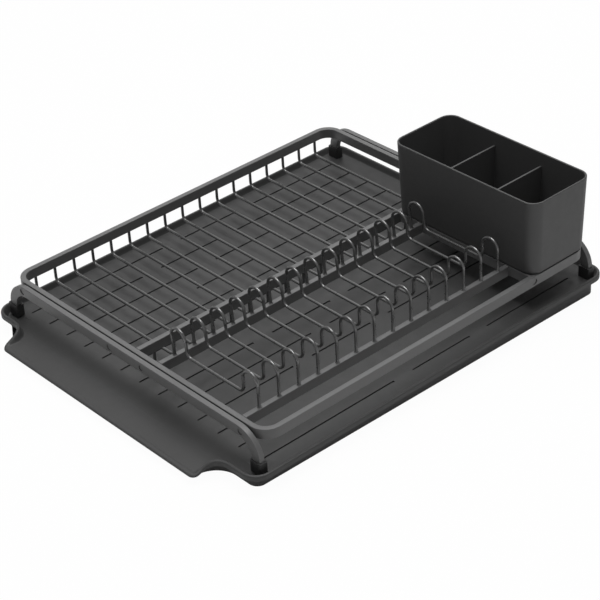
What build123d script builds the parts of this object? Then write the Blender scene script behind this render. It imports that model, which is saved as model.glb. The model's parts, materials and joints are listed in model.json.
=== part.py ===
"""Dish drying rack: a flat-bar and wire rack on a wedge-shaped drip tray, with a cutlery holder.

The rack, the holder and the tray are drawn in the deck frame: X from the spout to the holder, Y from
front to back, Z up, with its origin at the middle of the rim rail's top. DECK then leans them
towards the spout and stands them on the counter, where z = 0.
"""
import os
from math import acos, cos, radians, sin, tan

from build123d import *

# Rim rail: a closed loop of flat bar on edge
RAIL_LENGTH = 450.7
RAIL_WIDTH = 397.4
RAIL_CORNER = 20.0
BAR_THICK = 6.0
BAR_HEIGHT = 11.5

# Spaces between the bars inside the loop
FRONT_GAP = 26.75
PLATE_SPAN = 124.7
REAR_BAR_SPAN = 34.3
HOLDER_BAY = 74.25

# Leg bars, outside the short sides of the loop
LEG_GAP = 1.4
LEG_SETBACK = 0.25
LEG_BEND = 30.0
DECK_TO_FLOOR = 42.5

# Foot caps
CAP_WALL = 1.7
CAP_TALL = 13.0
CAP_FLOOR = 2.5
CAP_CLEARANCE = 0.1
CAP_ROUND = 1.2

# Wires
WIRE_DIA = 3.2
WIRE_PITCH = 25.0
REAR_WIRE_MARGIN = 23.0
PLATE_WIRE_MARGIN = 10.0
REAR_RUN_DEPTH = 30.5
REAR_BEND = 6.5
PLATE_RUN_HEIGHT = 6.8
PLATE_BEND = 7.0
HOOP_WIDTH = 21.0
HOOP_HEIGHT = 34.5
REAR_HOOP_HEIGHT = 33.5
REAR_HOOP_LEAN = 6.5
REAR_HOOP_FOOT = 3.0

# Rivets
RIVET_HEAD_DIA = 7.0
RIVET_HEAD_DEPTH = 1.2
RIVET_SHANK_DIA = 4.0
RIVET_COLLAR_DIA = 9.0
RIVET_CLEARANCE = 0.15
RIVET_FROM_LEG_END = 26.0
LEG_RIVET_INNER_Y = 25.3

# Cutlery holder
HOLDER_HEIGHT = 86.0
HOLDER_FLARE = 2.5
HOLDER_CORNER = 14.0
HOLDER_WALL = 2.2
HOLDER_OVERHANG = 0.25
HOLDER_REST = 3.2
HOLDER_REAR_REST = 4.5
PLUG_DEPTH = 9.0
PLUG_CLEARANCE = 0.75
PLUG_FLOOR = 2.2
DIVIDER_THICK = 2.0
DIVIDER_BELOW_RIM = 15.0
DRAIN_DIA = 5.0
DRAIN_PITCH = 14.0
DRAIN_ROWS = 3
DRAIN_COLUMNS = 4

# Drip tray
TRAY_LEFT_OF_LEG = 16.0
TRAY_RIGHT_OF_LEG = 12.5
TRAY_BEYOND_FOOT = 10.05
TRAY_CORNER = 19.0
TRAY_WALL = 2.5
LIP_WIDTH = 4.0
LIP_HEIGHT = 6.5
LIP_BAND = 5.5
SKIRT_SETBACK = 8.5
SKIRT_THROAT = 7.0
SPOUT_REACH = 28.0
FRONT_SHOULDER = 56.0
FRONT_NOTCH = 18.0
FRONT_TIP = 7.0
BACK_SHOULDER = 50.5
BACK_NOTCH = 13.0
BACK_TIP = 9.0
LEAST_TIP = 1.0
SPOUT_DROP = 3.5
SPOUT_EDGE = 2.0
SPOUT_LIFT = 5.9
STEP_START = 32.75
STEP_LENGTH = 28.0
DECK_TILT = 0.9

# Drain grooves in the tray floor
GROOVE_PITCH = 30.2
GROOVE_WIDTH = 2.4
GROOVE_DEPTH = 1.5
GROOVE_ROW_INSET = 28.0
GROOVE_FROM_LEFT = 29.75
GROOVE_FROM_RIGHT = 31.25
GROOVE_END_DASH = 124.0
GROOVE_MID_DASH = 81.0
GROOVE_GAP = 26.0

# Pads under the tray
PAD_DIA = 16.0
PAD_TALL = 2.0
PAD_INSET = 30.0
PAD_BOSS_WALL = 1.5

# Positions that follow from the sizes above
RAIL_OUT_X = RAIL_LENGTH / 2
RAIL_IN_X = RAIL_OUT_X - BAR_THICK
RAIL_OUT_Y = RAIL_WIDTH / 2
RAIL_IN_Y = RAIL_OUT_Y - BAR_THICK
LEG_IN_X = RAIL_OUT_X + LEG_GAP
LEG_OUT_X = LEG_IN_X + BAR_THICK
LEG_SPAN = RAIL_WIDTH - 2 * LEG_SETBACK
LEG_RIVET_OUTER_Y = LEG_SPAN / 2 - RIVET_FROM_LEG_END
FRONT_BAR_Y = -RAIL_IN_Y + FRONT_GAP + BAR_THICK / 2
MIDDLE_BAR_Y = FRONT_BAR_Y + PLATE_SPAN
REAR_BAR_Y = MIDDLE_BAR_Y + REAR_BAR_SPAN
CROSS_BAR_X = RAIL_IN_X - HOLDER_BAY - BAR_THICK / 2
CROSS_LEFT_X = CROSS_BAR_X - BAR_THICK / 2
CROSS_RIGHT_X = CROSS_BAR_X + BAR_THICK / 2
REAR_BAR_FRONT_Y = REAR_BAR_Y - BAR_THICK / 2
BAR_MID_Z = -BAR_HEIGHT / 2
REAR_WIRES = 1 + int((RAIL_LENGTH - 2 * REAR_WIRE_MARGIN) / WIRE_PITCH)
FIRST_WIRE_X = -WIRE_PITCH * (REAR_WIRES - 1) / 2
PLATE_WIRES = 1 + int((CROSS_LEFT_X - PLATE_WIRE_MARGIN - FIRST_WIRE_X) / WIRE_PITCH)
FLOOR_Z = -DECK_TO_FLOOR
LIP_Z = FLOOR_Z + LIP_HEIGHT
BAND_Z = LIP_Z - LIP_BAND
TRAY_LEFT_X = -LEG_OUT_X - TRAY_LEFT_OF_LEG
TRAY_RIGHT_X = LEG_OUT_X + TRAY_RIGHT_OF_LEG
TRAY_LENGTH = TRAY_RIGHT_X - TRAY_LEFT_X
TRAY_MID_X = (TRAY_LEFT_X + TRAY_RIGHT_X) / 2
TRAY_WIDTH = LEG_SPAN + 2 * TRAY_BEYOND_FOOT
SPOUT_FRONT_Y = -TRAY_WIDTH / 2 + FRONT_SHOULDER
SPOUT_BACK_Y = TRAY_WIDTH / 2 - BACK_SHOULDER
GROOVE_ROWS = 1 + int((TRAY_WIDTH - 2 * GROOVE_ROW_INSET) / GROOVE_PITCH)
SPOUT_EDGE_X = TRAY_LEFT_X - SPOUT_REACH
STEP_RIGHT_X = TRAY_LEFT_X + STEP_START
STEP_LEFT_X = STEP_RIGHT_X - STEP_LENGTH
APRON_Z = FLOOR_Z - SPOUT_DROP


def deck_height() -> float:
    """Return the height of the deck origin over the counter.

    The spout's lower edge clears the counter by the pads' height and a little more.
    """
    edge_z = APRON_Z - SPOUT_EDGE
    return PAD_TALL + SPOUT_LIFT - (SPOUT_EDGE_X * sin(radians(DECK_TILT)) + edge_z * cos(radians(DECK_TILT)))


def deck_location() -> Location:
    """Return the move from the deck frame to the counter frame, with the tray's box centred on X = 0."""
    lean = Rot(0, -DECK_TILT, 0)
    lip = Vector(TRAY_RIGHT_X, 0, LIP_Z)
    right = lip.X * cos(radians(DECK_TILT)) - lip.Z * sin(radians(DECK_TILT))
    left = SPOUT_EDGE_X * cos(radians(DECK_TILT)) - APRON_Z * sin(radians(DECK_TILT))
    return Pos(-(left + right) / 2, 0, deck_height()) * lean


DECK = deck_location()


def deck_point(x: float, y: float, z: float) -> Vector:
    """Return the counter-frame point of a deck-frame point."""
    return (DECK * Pos(x, y, z)).position


def flat_bar(x0: float, x1: float, y0: float, y1: float) -> Part:
    """Return a straight flat bar on edge, with its top flush with the rail's top."""
    return Pos((x0 + x1) / 2, (y0 + y1) / 2, BAR_MID_Z) * Box(x1 - x0, y1 - y0, BAR_HEIGHT)


def rivet_hole(depth: float) -> Part:
    """Return the cutter for a countersunk rivet: axis along +X, head face at X = 0, shank to depth."""
    head = RIVET_HEAD_DIA / 2 + RIVET_CLEARANCE
    shank = RIVET_SHANK_DIA / 2 + RIVET_CLEARANCE
    cutter = Rot(0, 90, 0) * Cylinder(head, RIVET_HEAD_DEPTH, align=(Align.CENTER, Align.CENTER, Align.MIN))
    return cutter + Rot(0, 90, 0) * Cylinder(shank, depth, align=(Align.CENTER, Align.CENTER, Align.MIN))


def rivet(depth: float, collar_at: float) -> Part:
    """Return a rivet with a flush head at X = 0 and, where the bars stand apart, a spacer collar."""
    seat = (Align.CENTER, Align.CENTER, Align.MIN)
    body = Rot(0, 90, 0) * Cylinder(RIVET_HEAD_DIA / 2, RIVET_HEAD_DEPTH, align=seat)
    body += Rot(0, 90, 0) * Cylinder(RIVET_SHANK_DIA / 2, depth, align=seat)
    if collar_at > 0:
        body += Pos(collar_at, 0, 0) * Rot(0, 90, 0) * Cylinder(RIVET_COLLAR_DIA / 2, LEG_GAP, align=seat)
    return body


LEG_RIVET_YS = [-LEG_RIVET_OUTER_Y, -LEG_RIVET_INNER_Y, LEG_RIVET_INNER_Y, LEG_RIVET_OUTER_Y]
LEG_RIVET_DEPTH = BAR_THICK + LEG_GAP + BAR_THICK
CROSS_RIVET_DEPTH = 2 * BAR_THICK


def leg_rivet_places() -> list[Location]:
    """Return where the leg rivets start: on the outer face of each leg, pointing inwards."""
    left = [Pos(-LEG_OUT_X, y, BAR_MID_Z) for y in LEG_RIVET_YS]
    right = [Pos(LEG_OUT_X, y, BAR_MID_Z) * Rot(0, 0, 180) for y in LEG_RIVET_YS]
    return left + right


def cross_rivet_place() -> Location:
    """Return where the cross bar's rivet starts: on the front rail's outer face, pointing back."""
    return Pos(CROSS_BAR_X, -RAIL_OUT_Y, BAR_MID_Z) * Rot(0, 0, 90)


def rim_rail() -> Part:
    """Return the closed rail loop with its rivet holes."""
    loop = RectangleRounded(RAIL_LENGTH, RAIL_WIDTH, RAIL_CORNER)
    loop -= RectangleRounded(2 * RAIL_IN_X, 2 * RAIL_IN_Y, RAIL_CORNER - BAR_THICK)
    rail = extrude(Pos(0, 0, -BAR_HEIGHT) * loop, BAR_HEIGHT)
    for place in leg_rivet_places():
        rail -= place * rivet_hole(LEG_RIVET_DEPTH)
    return rail - cross_rivet_place() * rivet_hole(CROSS_RIVET_DEPTH)


def leg_bar(side: int) -> Part:
    """Return one leg bar: an arch with its ends turned down into the foot caps.

    Args:
        side: -1 for the left leg, 1 for the right leg.
    """
    foot_z = FLOOR_Z + CAP_FLOOR
    tall = -foot_z
    outer = Pos(0, foot_z) * RectangleRounded(LEG_SPAN, 2 * tall, LEG_BEND)
    inner = Pos(0, foot_z) * RectangleRounded(
        LEG_SPAN - 2 * BAR_HEIGHT, 2 * (tall - BAR_HEIGHT), LEG_BEND - BAR_HEIGHT
    )
    below = Pos(0, foot_z) * Rectangle(LEG_SPAN, tall, align=(Align.CENTER, Align.MAX))
    arch = outer - inner - below
    leg = extrude(Plane.YZ * arch, BAR_THICK)
    leg = Pos(LEG_IN_X if side > 0 else -LEG_OUT_X, 0, 0) * leg
    for place in leg_rivet_places():
        leg -= place * rivet_hole(LEG_RIVET_DEPTH)
    return leg


def foot_cap(side: int, end: int) -> Part:
    """Return the cap of one leg end, with a pocket that the bar's end stands in.

    Args:
        side: -1 for left, 1 for right.
        end: -1 for front, 1 for back.
    """
    pocket_x = BAR_THICK + 2 * CAP_CLEARANCE
    pocket_y = BAR_HEIGHT + 2 * CAP_CLEARANCE
    base = (Align.CENTER, Align.CENTER, Align.MIN)
    cap = Box(pocket_x + 2 * CAP_WALL, pocket_y + 2 * CAP_WALL, CAP_TALL, align=base)
    cap = fillet(cap.edges().filter_by(Axis.Z), CAP_WALL)
    cap = fillet(cap.faces().sort_by(Axis.Z)[0].edges(), CAP_ROUND)
    cap -= Pos(0, 0, CAP_FLOOR) * Box(pocket_x, pocket_y, CAP_TALL, align=base)
    x = side * (LEG_IN_X + BAR_THICK / 2)
    y = end * (LEG_SPAN - BAR_HEIGHT) / 2
    return Pos(x, y, FLOOR_Z) * cap


def cross_bar() -> Part:
    """Return the bar along Y between the front rail and the rear bar."""
    bar = flat_bar(CROSS_LEFT_X, CROSS_RIGHT_X, -RAIL_IN_Y, REAR_BAR_FRONT_Y)
    return bar - cross_rivet_place() * rivet_hole(CROSS_RIVET_DEPTH)


def bend(corner: tuple, before: tuple, after: tuple, radius: float) -> tuple:
    """Return the start, the middle and the end of a round bend at a corner.

    Args:
        corner: the corner's (y, z).
        before: the direction of travel into the corner.
        after: the direction of travel out of it.
        radius: the bend's centre-line radius.
    """
    half_turn = acos(before[0] * after[0] + before[1] * after[1]) / 2
    length = radius * tan(half_turn)
    start = (corner[0] - before[0] * length, corner[1] - before[1] * length)
    end = (corner[0] + after[0] * length, corner[1] + after[1] * length)
    reach = radius * (1 / cos(half_turn) - 1) / (2 * sin(half_turn))
    mid = (corner[0] + (after[0] - before[0]) * reach, corner[1] + (after[1] - before[1]) * reach)
    return start, mid, end


def wire(path: Wire, start: tuple, x: float) -> Part:
    """Return a round wire swept along a path in the Y-Z plane at x; the path starts at start along Z."""
    tube = sweep(Plane.YZ * (Pos(*start) * Rot(90, 0, 0)) * Circle(WIRE_DIA / 2), path=Plane.YZ * path)
    return Pos(x, 0, 0) * tube


def rear_wire(number: int) -> Part:
    """Return one rear wire: a U between the undersides of the back rail and the rear bar."""
    top = -BAR_HEIGHT
    back_y = (RAIL_OUT_Y + RAIL_IN_Y) / 2
    first = bend((back_y, -REAR_RUN_DEPTH), (0, -1), (-1, 0), REAR_BEND)
    second = bend((REAR_BAR_Y, -REAR_RUN_DEPTH), (-1, 0), (0, 1), REAR_BEND)
    path = Wire([
        Edge.make_line((back_y, top), first[0]),
        Edge.make_three_point_arc(*first),
        Edge.make_line(first[2], second[0]),
        Edge.make_three_point_arc(*second),
        Edge.make_line(second[2], (REAR_BAR_Y, top)),
    ])
    return wire(path, (back_y, top), FIRST_WIRE_X + number * WIRE_PITCH)


def plate_wire(number: int) -> Part:
    """Return one plate wire: a leaning hoop on the middle bar, a low run and a hoop on the front bar."""
    radius = HOOP_WIDTH / 2
    spring = HOOP_HEIGHT - radius
    rear = MIDDLE_BAR_Y
    front = FRONT_BAR_Y
    front_in = front + HOOP_WIDTH
    lean_y, lean_z = sin(radians(REAR_HOOP_LEAN)), cos(radians(REAR_HOOP_LEAN))
    rise = (REAR_HOOP_HEIGHT - radius * (1 + lean_y) - REAR_HOOP_FOOT) / lean_z
    outer = (rear + rise * lean_y, REAR_HOOP_FOOT + rise * lean_z)
    top = (outer[0] - radius * (lean_z - lean_y), outer[1] + radius * (lean_y + lean_z))
    inner = (outer[0] - HOOP_WIDTH * lean_z, outer[1] + HOOP_WIDTH * lean_y)
    rear_in = inner[0] - (inner[1] - PLATE_RUN_HEIGHT) * lean_y / lean_z
    foot = bend((rear, REAR_HOOP_FOOT), (0, 1), (lean_y, lean_z), PLATE_BEND)
    first = bend((rear_in, PLATE_RUN_HEIGHT), (-lean_y, -lean_z), (-1, 0), PLATE_BEND)
    second = bend((front_in, PLATE_RUN_HEIGHT), (-1, 0), (0, 1), PLATE_BEND)
    path = Wire([
        Edge.make_line((rear, 0), foot[0]),
        Edge.make_three_point_arc(*foot),
        Edge.make_line(foot[2], outer),
        Edge.make_three_point_arc(outer, top, inner),
        Edge.make_line(inner, first[0]),
        Edge.make_three_point_arc(*first),
        Edge.make_line(first[2], second[0]),
        Edge.make_three_point_arc(*second),
        Edge.make_line(second[2], (front_in, spring)),
        Edge.make_three_point_arc((front_in, spring), (front + radius, HOOP_HEIGHT), (front, spring)),
        Edge.make_line((front, spring), (front, 0)),
    ])
    return wire(path, (rear, 0), FIRST_WIRE_X + number * WIRE_PITCH)


def holder_face(z: float, inset: float) -> Face:
    """Return the holder's rounded outline at a height, inset from its outer skin.

    The skin flares from the rails' tops to the rim, and rests HOLDER_REST in on the right rail.
    """
    grow = HOLDER_FLARE * z / HOLDER_HEIGHT - inset
    x0 = CROSS_LEFT_X - HOLDER_OVERHANG - grow
    x1 = RAIL_IN_X + HOLDER_REST + grow
    y0 = -RAIL_OUT_Y - grow
    y1 = REAR_BAR_FRONT_Y + HOLDER_REAR_REST + grow
    outline = RectangleRounded(x1 - x0, y1 - y0, HOLDER_CORNER + grow)
    return (Pos((x0 + x1) / 2, (y0 + y1) / 2, z) * outline).face()


def plug_block(inset: float, z0: float, z1: float) -> Part:
    """Return a block that fills the bay between the bars, less the plug clearance and an inset."""
    gap = PLUG_CLEARANCE + inset
    x0 = CROSS_RIGHT_X + gap
    x1 = RAIL_IN_X - gap
    y0 = -RAIL_IN_Y + gap
    y1 = REAR_BAR_FRONT_Y - gap
    corner = RAIL_CORNER - BAR_THICK - gap
    outline = Pos((x0 + x1) / 2, (y0 + y1) / 2, z0) * RectangleRounded(x1 - x0, y1 - y0, corner)
    return extrude(outline, z1 - z0)


def compartment_ys() -> list[float]:
    """Return the Y of the plug's ends and of the dividers, from front to back."""
    rim = holder_face(HOLDER_HEIGHT, HOLDER_WALL).bounding_box()
    third = (rim.max.Y - rim.min.Y) / 3
    plug_front = -RAIL_IN_Y + PLUG_CLEARANCE + HOLDER_WALL
    plug_back = REAR_BAR_FRONT_Y - PLUG_CLEARANCE - HOLDER_WALL
    return [plug_front, rim.min.Y + third, rim.max.Y - third, plug_back]


def cutlery_holder() -> Part:
    """Return the cup: a flared body on the bars, a plug between them, dividers and drain holes."""
    floor_z = -PLUG_DEPTH + PLUG_FLOOR
    body = loft([holder_face(0, 0), holder_face(HOLDER_HEIGHT, 0)])
    body += plug_block(0, -PLUG_DEPTH, 0)
    hollow = loft([holder_face(HOLDER_WALL, HOLDER_WALL), holder_face(HOLDER_HEIGHT, HOLDER_WALL)])
    hollow += plug_block(HOLDER_WALL, floor_z, HOLDER_WALL)
    body -= hollow
    ys = compartment_ys()
    mid_x = (CROSS_RIGHT_X + RAIL_IN_X) / 2
    top = HOLDER_HEIGHT - DIVIDER_BELOW_RIM
    wide = RAIL_LENGTH
    for y in ys[1:3]:
        sheet = Pos(mid_x, y, (floor_z + top) / 2) * Box(wide, DIVIDER_THICK, top - floor_z)
        body += sheet & hollow
    grid = GridLocations(DRAIN_PITCH, DRAIN_PITCH, DRAIN_COLUMNS, DRAIN_ROWS)
    for front, back in zip(ys, ys[1:]):
        middle = Pos(mid_x, (front + back) / 2, -PLUG_DEPTH)
        body -= middle * grid * Cylinder(DRAIN_DIA / 2, 4 * PLUG_FLOOR)
    return body


def tray_plate(inset: float) -> Sketch:
    """Return the tray's plan without its spout, inset from the lip's outer edge."""
    plate = RectangleRounded(TRAY_LENGTH - 2 * inset, TRAY_WIDTH - 2 * inset, TRAY_CORNER - inset)
    return Pos(TRAY_MID_X, 0) * plate


def tray_outline(inset: float, spout_extra: float) -> Sketch:
    """Return the tray's plan with its notched spout.

    Args:
        inset: how far every edge lies inside the lip's outer edge.
        spout_extra: how far the spout runs on past its edge.
    """
    x0 = SPOUT_EDGE_X + inset - spout_extra
    x1 = TRAY_LEFT_X + TRAY_CORNER + FRONT_NOTCH
    y0 = SPOUT_FRONT_Y + inset
    y1 = SPOUT_BACK_Y - inset
    spout = Pos((x0 + x1) / 2, (y0 + y1) / 2) * Rectangle(x1 - x0, y1 - y0)
    plan = tray_plate(inset) + spout
    rounds = [
        (TRAY_LEFT_X + inset, y0, FRONT_NOTCH + inset),
        (TRAY_LEFT_X + inset, y1, BACK_NOTCH + inset),
        (x0, y0, max(FRONT_TIP - inset, LEAST_TIP)),
        (x0, y1, max(BACK_TIP - inset, LEAST_TIP)),
    ]
    for x, y, radius in rounds:
        corner = plan.vertices().sort_by_distance(Vector(x, y, 0))[0]
        plan = fillet(corner, radius)
    return plan


def above(points: list, reach: float) -> Part:
    """Return the space over a line of (x, z) points, out to reach on both sides of Y = 0.

    Args:
        points: the line from left to right; a straight first and last leg, with a smooth step between.
        reach: half the width along Y.
    """
    high = LIP_Z + TRAY_WIDTH / 10
    left, step_low, step_high, right = points
    third = (step_high[0] - step_low[0]) / 2
    curve = Edge.make_bezier(
        step_low, (step_low[0] + third, step_low[1]), (step_high[0] - third, step_high[1]), step_high
    )
    outline = Wire([
        Edge.make_line(left, step_low),
        curve,
        Edge.make_line(step_high, right),
        Edge.make_line(right, (right[0], high)),
        Edge.make_line((right[0], high), (left[0], high)),
        Edge.make_line((left[0], high), left),
    ])
    return extrude(Plane.XZ * Face(outline), reach, both=True)


def grooves() -> list[Part]:
    """Return the cutters for the drain grooves: rows of three dashes, turned round in every other row."""
    start = TRAY_LEFT_X + GROOVE_FROM_LEFT
    stop = TRAY_RIGHT_X - GROOVE_FROM_RIGHT
    long_dash = stop - start - GROOVE_END_DASH - GROOVE_MID_DASH - 2 * GROOVE_GAP
    cutters = []
    for row in range(GROOVE_ROWS):
        lengths = [long_dash, GROOVE_MID_DASH, GROOVE_END_DASH]
        if row % 2:
            lengths.reverse()
        y = (row - (GROOVE_ROWS - 1) / 2) * GROOVE_PITCH
        left = start
        for length in lengths:
            slot = Pos(left + length / 2, y, FLOOR_Z) * Box(length, GROOVE_WIDTH, 2 * GROOVE_DEPTH)
            cutters.append(slot)
            left += length + GROOVE_GAP
    return cutters


def pad_places() -> list[Vector]:
    """Return the counter-frame centres of the four pads."""
    y = TRAY_WIDTH / 2 - PAD_INSET
    xs = (TRAY_LEFT_X + PAD_INSET, TRAY_RIGHT_X - PAD_INSET)
    return [deck_point(x, side * y, FLOOR_Z) for x in xs for side in (-1, 1)]


def tray_skin() -> Part:
    """Return the tray's solid outer shape: a banded lip that overhangs a set-back skirt."""
    low_z = LIP_Z - TRAY_LENGTH / 10
    throat_z = BAND_Z - SKIRT_THROAT
    band_line = [(SPOUT_EDGE_X - SPOUT_REACH, APRON_Z - SPOUT_EDGE), (SPOUT_EDGE_X, APRON_Z - SPOUT_EDGE),
                 (TRAY_LEFT_X, BAND_Z), (TRAY_LENGTH, BAND_Z)]
    band = extrude(Pos(0, 0, low_z) * tray_outline(0, 0), LIP_Z - low_z) & above(band_line, TRAY_WIDTH)
    throat = loft([(Pos(0, 0, BAND_Z) * tray_plate(0)).face(),
                   (Pos(0, 0, throat_z) * tray_plate(SKIRT_SETBACK)).face()], ruled=True)
    skirt = extrude(Pos(0, 0, low_z) * tray_outline(SKIRT_SETBACK, 0), throat_z - low_z)
    return band + throat + skirt


def tray_basin() -> Part:
    """Return the space inside the lip, down to the floor and the spout's apron."""
    floor_line = [(SPOUT_EDGE_X - SPOUT_REACH, APRON_Z), (STEP_LEFT_X, APRON_Z), (STEP_RIGHT_X, FLOOR_Z),
                  (TRAY_LENGTH, FLOOR_Z)]
    basin = extrude(Pos(0, 0, APRON_Z - 1) * tray_outline(LIP_WIDTH, 2 * SPOUT_REACH), TRAY_WIDTH / 5)
    return basin & above(floor_line, TRAY_WIDTH)


def drip_tray() -> Part:
    """Return the tray in the counter frame: a wedge with a lip, a level deck floor and a spout."""
    lip_line = [(SPOUT_EDGE_X - SPOUT_REACH, APRON_Z), (SPOUT_EDGE_X, APRON_Z), (TRAY_LEFT_X, LIP_Z),
                (TRAY_LENGTH, LIP_Z)]
    skin = tray_skin() - tray_basin() - above(lip_line, TRAY_WIDTH)
    for slot in grooves():
        skin -= slot
    hollow_top = FLOOR_Z - TRAY_WALL
    depth = TRAY_LENGTH / 10
    hollow = extrude(Pos(0, 0, hollow_top) * tray_plate(SKIRT_SETBACK + TRAY_WALL), -depth)
    hollow &= Pos(STEP_RIGHT_X, 0, hollow_top - depth) * Box(
        2 * TRAY_LENGTH, TRAY_WIDTH, depth, align=(Align.MIN, Align.CENTER, Align.MIN)
    )
    under = Box(4 * TRAY_LENGTH, 4 * TRAY_WIDTH, TRAY_WIDTH, align=(Align.CENTER, Align.CENTER, Align.MAX))
    tray = DECK * (skin - hollow) - Pos(0, 0, PAD_TALL) * under
    for centre in pad_places():
        boss_tall = centre.Z - TRAY_WALL / 2 - PAD_TALL
        boss = Cylinder(PAD_DIA / 2 + PAD_BOSS_WALL, boss_tall, align=(Align.CENTER, Align.CENTER, Align.MIN))
        tray += Pos(centre.X, centre.Y, PAD_TALL) * boss
    return tray


def tray_pads() -> Part:
    """Return the four pads that stand on the counter under the tray's bosses."""
    seat = (Align.CENTER, Align.CENTER, Align.MIN)
    pads = [Pos(c.X, c.Y, 0) * Cylinder(PAD_DIA / 2, PAD_TALL, align=seat) for c in pad_places()]
    return Compound(children=pads)


def build() -> dict:
    """Return every node's shape in the counter frame, by node name."""
    deck_parts = {
        "rim_rail": rim_rail(),
        "left_leg_bar": leg_bar(-1),
        "right_leg_bar": leg_bar(1),
        "rear_bar": flat_bar(-RAIL_IN_X, RAIL_IN_X, REAR_BAR_FRONT_Y, REAR_BAR_Y + BAR_THICK / 2),
        "middle_bar": flat_bar(
            -RAIL_IN_X, CROSS_LEFT_X, MIDDLE_BAR_Y - BAR_THICK / 2, MIDDLE_BAR_Y + BAR_THICK / 2
        ),
        "front_bar": flat_bar(
            -RAIL_IN_X, CROSS_LEFT_X, FRONT_BAR_Y - BAR_THICK / 2, FRONT_BAR_Y + BAR_THICK / 2
        ),
        "cross_bar": cross_bar(),
        "leg_rivets": Compound(children=[
            place * rivet(LEG_RIVET_DEPTH, BAR_THICK) for place in leg_rivet_places()
        ]),
        "cross_bar_rivet": cross_rivet_place() * rivet(CROSS_RIVET_DEPTH, 0),
        "cutlery_holder": cutlery_holder(),
    }
    for side, side_name in ((-1, "left"), (1, "right")):
        for end, end_name in ((-1, "front"), (1, "back")):
            deck_parts[f"foot_cap_{end_name}_{side_name}"] = foot_cap(side, end)
    for number in range(REAR_WIRES):
        deck_parts[f"rear_wire_{number + 1:02d}"] = rear_wire(number)
    for number in range(PLATE_WIRES):
        deck_parts[f"plate_wire_{number + 1:02d}"] = plate_wire(number)
    parts = {name: DECK * shape for name, shape in deck_parts.items()}
    parts["drip_tray"] = drip_tray()
    parts["tray_pads"] = tray_pads()
    return parts


if __name__ == "__main__":
    os.makedirs("parts", exist_ok=True)
    for node, shape in build().items():
        export_step(shape, f"parts/{node}.step")
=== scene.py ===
"""Looks of the dish drying rack: coated bars and wires, a cutlery holder and a wedge-shaped drip tray.

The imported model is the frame. Every piece is modelled in millimetres in the deck frame, which has its
origin at the middle of the rim rail's top, X from the spout to the holder and Z square to the deck, and is
then set down in the part's frame, where the deck leans a little to the spout.
"""

import json
import logging
from collections.abc import Callable
from dataclasses import dataclass
from enum import Enum
from math import cos, pi, radians, sin, tan

import bmesh
import bpy
from mathutils import Matrix, Vector


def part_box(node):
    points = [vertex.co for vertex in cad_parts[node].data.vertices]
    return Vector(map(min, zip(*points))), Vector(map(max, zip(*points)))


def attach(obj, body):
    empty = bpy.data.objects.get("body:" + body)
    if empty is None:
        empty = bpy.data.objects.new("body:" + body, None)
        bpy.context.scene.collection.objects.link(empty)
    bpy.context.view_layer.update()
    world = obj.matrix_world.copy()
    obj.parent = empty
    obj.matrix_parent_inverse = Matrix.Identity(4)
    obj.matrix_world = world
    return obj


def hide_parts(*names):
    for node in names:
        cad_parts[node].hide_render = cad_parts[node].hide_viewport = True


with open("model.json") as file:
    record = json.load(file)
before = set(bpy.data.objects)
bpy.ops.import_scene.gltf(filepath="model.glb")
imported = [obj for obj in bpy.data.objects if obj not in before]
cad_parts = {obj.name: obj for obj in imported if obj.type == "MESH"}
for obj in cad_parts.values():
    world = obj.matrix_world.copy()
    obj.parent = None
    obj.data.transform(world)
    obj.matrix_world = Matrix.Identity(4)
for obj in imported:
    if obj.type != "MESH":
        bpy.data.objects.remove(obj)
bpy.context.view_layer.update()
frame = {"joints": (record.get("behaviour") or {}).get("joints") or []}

MM = 0.001
IMAGE_SIDE = 600
LOG = logging.getLogger("dish_rack")

# Tolerances of the mesh work, in millimetres
NEAR = 0.1
SAME_POINT = 0.001
SAME_CORNER = 0.02

# Decimals by which points of the tray's plan are matched
PLAN_DIGITS = 3

# Angle up to which neighbouring faces count as one flat face, in degrees
FLAT_ANGLE = 1.0

# How fine the finishes' noises are, and the range that most of a noise's values lie in
CLOUD_DETAIL = 3.0
PATCH_DETAIL = 2.0
GRAIN_DETAIL = 1.0
NOISE_LOW = 0.3
NOISE_HIGH = 0.7

# A light's strength, as a number or as a node's output
Strength = float | bpy.types.NodeSocket

# Says of a point whether it is picked
Test = Callable[[Vector], bool]


class Primitive(Enum):
    """The shapes that a piece can start from."""

    PLANE = "primitive_plane_add"
    CUBE = "primitive_cube_add"
    CIRCLE = "primitive_circle_add"
    CYLINDER = "primitive_cylinder_add"


class Kind(Enum):
    """What is picked on a mesh."""

    VERT = "verts"
    EDGE = "edges"
    FACE = "faces"


class Side(Enum):
    """The two short sides of the rack, by the sign of X."""

    LEFT = -1
    RIGHT = 1


class Join(Enum):
    """How a second shape is worked into a first one."""

    CUT = "DIFFERENCE"
    FUSE = "UNION"


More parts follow.
